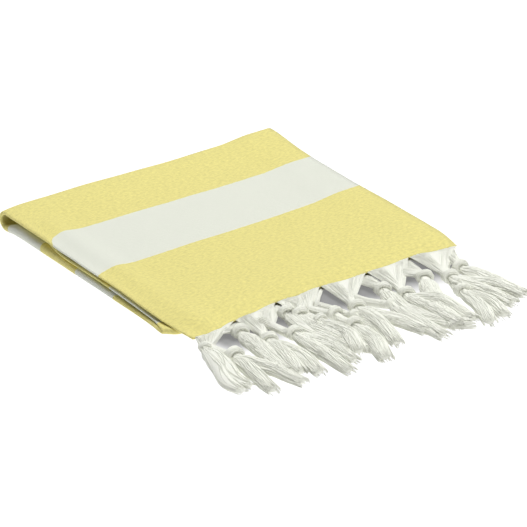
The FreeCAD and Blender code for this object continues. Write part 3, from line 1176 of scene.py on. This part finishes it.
    def lay_loop(self, mesh: YarnMesh, loop: Rope, chance: np.random.Generator) -> None:
        """Add one turn of a knot: a soft core, and strands that lie along its skin.

        Args:
            mesh: what to add to.
            loop: the turn.
            chance: the tassel's seeded chance.
        """
        mesh.add(loop.core(np.linspace(0, 1, 16), np.full(16, 0.9), 8), chance.uniform(0, 1, 1))
        count = 11
        angle = (np.arange(count) * 2 * np.pi / count + chance.uniform(-0.15, 0.15, count))[:, None]
        share = np.linspace(0, 1, 14)[None, :]
        path = loop.around(share, angle + 0.5 * share, np.full((count, 1), 0.92))
        radius = np.full(path.shape[:2], self.strand_radius) * chance.uniform(0.7, 1.1, (count, 1))
        way = loop.up[0]
        mesh.add(strand_rings(path, radius, way, 4), chance.uniform(0, 1, count))


@dataclass
class Fringe:
    """Every tassel: two layers in front of the cloth, and the other end's, tucked inside the winding."""

    cloth: Cloth
    strands: int = 170
    upper_pitch: float = 250.0 / 6
    lower_pitch: float = 40.0
    lower_start: float = 10.0
    upper: tuple[tuple[Bundle, ...], ...] = (
        (
            Bundle(
                ((-122.0, -143.0),),
                (
                    ((-131.0, -172.0), (-139.0, -197.0), (-136.5, -211.0)),
                    ((-124.0, -166.0), (-131.0, -197.0), (-128.0, -208.0)),
                ),
                share=0.25,
                knot_size=0.7,
            ),
            Bundle(
                ((-113.0, -164.0),),
                (((-117.0, -195.0), (-120.5, -223.0)), ((-104.0, -198.0), (-96.0, -226.0))),
                ((-117.0, -143.0),),
                0.75,
                1.15,
            ),
        ),
        (
            Bundle(
                ((-79.0, -160.0),),
                (((-84.0, -184.0), (-90.0, -213.0)), ((-75.0, -191.0), (-79.0, -221.0))),
                ((-75.0, -148.0),),
            ),
        ),
        (
            Bundle(
                ((-34.0, -160.0),),
                (((-31.0, -186.0), (-40.0, -214.0)),),
                ((-33.0, -142.0),),
                share=0.4,
                knot_size=0.8,
            ),
            Bundle(
                ((-18.0, -156.0), (-17.0, -177.0)),
                (((-21.0, -204.0), (-30.0, -232.0)),),
                ((-25.0, -138.0),),
                share=0.6,
            ),
        ),
        (
            Bundle(
                ((2.0, -157.0),),
                (((-4.0, -195.0), (-10.0, -220.0)), ((12.0, -192.0), (18.0, -218.0))),
                ((5.0, -146.0),),
            ),
        ),
        (
            Bundle(
                ((43.0, -162.0),),
                (((41.0, -193.0), (43.0, -224.0)), ((54.0, -188.0), (57.0, -224.0))),
                ((47.0, -151.0),),
            ),
        ),
        (
            Bundle(
                ((84.0, -162.0),),
                (((91.0, -188.0), (98.0, -220.0)), ((101.0, -186.0), (112.0, -214.0))),
                ((88.0, -151.0),),
            ),
        ),
    )
    lower: tuple[tuple[Bundle, ...], ...] = (
        (Bundle(((-88.0, -138.0),), (((-91.0, -165.0), (-94.0, -190.0), (-95.0, -205.0)),)),),
        (
            Bundle(
                ((-63.0, -167.0),),
                (((-61.0, -200.0), (-61.0, -232.0)), ((-50.0, -194.0), (-49.0, -222.0))),
                ((-66.0, -147.0),),
                lift=3.0,
            ),
        ),
        (
            Bundle(((-44.0, -134.0),), (((-48.0, -170.0), (-43.0, -207.0)),), share=0.35),
            Bundle(((-38.0, -142.0),), (((-40.0, -170.0), (-34.0, -197.0), (-26.0, -214.0)),), share=0.35),
            Bundle(
                ((-8.0, -166.0),),
                (((-5.0, -190.0), (-12.0, -216.0)),),
                ((-17.0, -135.0), (-11.0, -152.0)),
                0.3,
                0.7,
            ),
        ),
        (
            Bundle(
                ((24.0, -168.0),),
                (((22.0, -190.0), (25.0, -231.0)),),
                ((11.0, -134.0), (14.0, -150.0)),
                0.5,
                0.7,
            ),
            Bundle(((34.0, -146.0),), (((27.0, -186.0), (38.0, -212.0), (56.0, -226.0)),), share=0.5),
        ),
        (Bundle(((71.0, -149.0),), (((56.0, -180.0), (40.0, -225.0)),)),),
        (
            Bundle(
                ((79.0, -182.0),),
                (((74.0, -208.0), (63.0, -234.0)), ((83.0, -209.0), (79.0, -232.0))),
                ((91.0, -152.0),),
                0.6,
            ),
            Bundle(((102.0, -151.0),), (((108.0, -188.0), (112.0, -213.0)),), share=0.4),
        ),
    )

    def roots(self, first: float, last: float, layer: Layer, along: float, count: int) -> np.ndarray:
        """Evenly spaced strand ends along a hem.

        Args:
            first: the gathered stretch's start, from the lengthwise fold.
            last: its end.
            layer: which layer's hem.
            along: the hem's length along the sheet, a little inside the edge.
            count: how many strands.

        Returns:
            Points in millimetres.
        """
        away = np.linspace(first, last, count)
        across = self.cloth.flat_width / 2 - layer.value * away
        return self.cloth.surface(across, np.full_like(away, along)) / MM

    def build(self, material: bpy.types.Material) -> list[bpy.types.Object]:
        """Lay the lower layer, then the upper one on it, then the tucked fringe.

        Args:
            material: the yarn's finish.

        Returns:
            The pieces, in that order.
        """
        pile = Pile()
        pieces: list[bpy.types.Object] = []
        for number, bundles in enumerate(self.lower):
            start = self.lower_start + self.lower_pitch * number
            stop = min(start + self.lower_pitch - 0.5, 249.0)
            roots = self.roots(start + 0.5, stop, Layer.INNER, 0.6, self.strands)
            tassel = Tassel("lower", number + 1, roots, bundles, 20 + number)
            pieces.append(self.mount(tassel, pile, material))
        for number, bundles in enumerate(self.upper):
            start = self.upper_pitch * number
            first = start + (3.0 if number == 0 else 0.5)
            roots = self.roots(first, start + self.upper_pitch - 0.5, Layer.OUTER, 0.6, self.strands)
            tassel = Tassel("upper", number + 1, roots, bundles, 60 + number)
            pieces.append(self.mount(tassel, pile, material))
        for number in range(12):
            pieces.append(self.mount(self.tucked(number), pile, material))
        return pieces

    def tucked(self, number: int) -> Tassel:
        """One tassel of the hidden end, turned back between the inner and top leaves.

        Args:
            number: which, from the left.

        Returns:
            The tassel, ready to build.
        """
        pitch = 250.0 / 12
        layer = Layer.OUTER if number % 2 == 0 else Layer.INNER
        middle = self.cloth.folded_left + pitch * (number + 0.5)
        start = pitch * number + (8.0 if number == 0 else 0.5)
        roots = self.roots(start, min(start + pitch, 249.0), layer, self.cloth.length - 0.6, 30)
        bundle = Bundle(((middle, 50.0),), (((middle + 1.0, 20.0), (middle, -8.0)),), ((middle, 58.0),))
        return Tassel(
            "tucked",
            number + 1,
            roots,
            (bundle,),
            100 + number,
            strand_radius=0.4,
            neck_high=0.9,
            tail_wide=5.5,
            tail_high=0.9,
            tip_high=0.7,
            loop_wide=4.2,
            loop_high=0.6,
            loop_radius=0.8,
            settle=False,
            base=4.6,
        )

    def mount(self, tassel: Tassel, pile: Pile, material: bpy.types.Material) -> bpy.types.Object:
        """Build a tassel and let it ride on the towel in its plain solid's stead."""
        piece = tassel.build(pile, material)
        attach(piece, "root")
        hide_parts(tassel.node)
        LOG.info("%s: %d faces", piece.name, len(piece.data.polygons))
        return piece


# ---------------------------------------------------------------- studio


@dataclass
class Studio:
    """A plain white floor, darkened under the towel as painted shadow, soft light from above and the front,
    and the camera.
    """

    target: tuple[float, float, float] = (-0.0030, -0.0536, 0.0)
    azimuth: float = -37.0
    elevation: float = 26.0
    distance: float = 2.6
    lens: float = 241.9
    glow: float = 1.05
    # How much glow is taken away in the painted shadow under the towel.
    shadow_glow_cut: float = 0.85
    # Where the painted shadow lies: (axis, start, stop) steps whose product is 1 under the towel and just in
    # front of its hem.
    under: tuple[tuple[int, float, float], ...] = (
        (0, -0.116, -0.100),
        (0, 0.122, 0.106),
        (1, -0.168, -0.138),
        (1, 0.100, 0.080),
    )

    def floor(self) -> None:
        """A wide white sheet that glows evenly as a lit studio table does, with most of its glow taken away
        under the towel and just in front of its hem: a painted shadow that darkens the floor seen through the
        fringe.
        """
        size = 4.0
        corners = np.array([[-size, -size, 0], [size, -size, 0], [size, size, 0], [-size, size, 0]], float)
        nodes = Nodes("studio_floor_painted_shadow")
        nodes.shader.inputs["Base Color"].default_value = (0.12, 0.12, 0.12, 1.0)
        nodes.shader.inputs["Roughness"].default_value = 0.9
        nodes.shader.inputs["Emission Color"].default_value = (1.0, 1.0, 1.0, 1.0)
        place = nodes.split(nodes.add("ShaderNodeTexCoord").outputs["Object"])
        # under is the painted shadow's mask: 1 under the towel and just in front of its hem, 0 elsewhere on
        # the floor.
        under = 1.0
        for axis, start, stop in self.under:
            under = nodes.math("MULTIPLY", under, nodes.step(place[axis], start, stop))
        # The even glow, less the painted shadow where the mask is 1.
        glow = nodes.math("MULTIPLY_ADD", under, -self.shadow_glow_cut, self.glow)
        nodes.feed(nodes.shader.inputs["Emission Strength"], glow)
        faces = [np.array([[0, 1, 2, 3]])]
        piece = make_piece("studio_floor_painted_shadow", corners, faces, corners[:, :2], nodes.material)

    def lamp(self, name: str, place: tuple[float, float, float], size: float, power: float) -> None:
        """A square soft light that looks at the origin.

        Args:
            name: its name.
            place: where it hangs, in metres.
            size: its side, in metres.
            power: its power, in watts.
        """
        light = bpy.data.lights.new(name, "AREA")
        light.size = size
        light.energy = power
        holder = bpy.data.objects.new(name, light)
        holder.location = place
        back = np.array(place) / np.linalg.norm(place)
        holder.rotation_euler = (np.arccos(back[2]), 0.0, np.arctan2(back[0], -back[1]))
        bpy.context.scene.collection.objects.link(holder)

    def camera(self) -> None:
        """A long lens, so that the view is nearly parallel."""
        turn, tilt = np.radians(self.azimuth), np.radians(self.elevation)
        back = np.array([np.sin(turn) * np.cos(tilt), -np.cos(turn) * np.cos(tilt), np.sin(tilt)])
        data = bpy.data.cameras.new("camera")
        data.lens = self.lens
        data.sensor_width = 36.0
        holder = bpy.data.objects.new("camera", data)
        holder.location = np.array(self.target) + self.distance * back
        holder.rotation_euler = (np.pi / 2 - tilt, 0.0, turn)
        bpy.context.scene.collection.objects.link(holder)
        bpy.context.scene.camera = holder

    def build(self) -> None:
        """Set the floor, the lights, the sky and the camera."""
        scene = bpy.context.scene
        scene.view_settings.view_transform = "Standard"
        world = bpy.data.worlds.new("studio")
        world.use_nodes = True
        sky = world.node_tree.nodes["Background"]
        sky.inputs["Color"].default_value = (1.0, 1.0, 1.0, 1.0)
        sky.inputs["Strength"].default_value = 0.15
        scene.world = world
        self.floor()
        self.lamp("softbox_above", (0.35, 0.25, 2.4), 1.6, 54.0)
        self.lamp("softbox_front", (0.8, -1.9, 1.3), 1.2, 14.0)
        self.camera()


def main() -> None:
    logging.basicConfig(level=logging.INFO, format="%(message)s")
    cloth = Cloth()
    stripes = [round(width / MM, 1) for width in cloth.stripes]
    LOG.info("flat length %.1f mm, stripes %s", cloth.length, stripes)
    piece = cloth.build(StripedCotton(cloth.stripes).material())
    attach(piece, "root")
    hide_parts("cloth")
    LOG.info("%s: %d faces before its thickness", piece.name, len(piece.data.polygons))
    tassels = Fringe(cloth).build(FringeYarn().material())
    Studio().build()


if __name__ == "__main__":
    main()
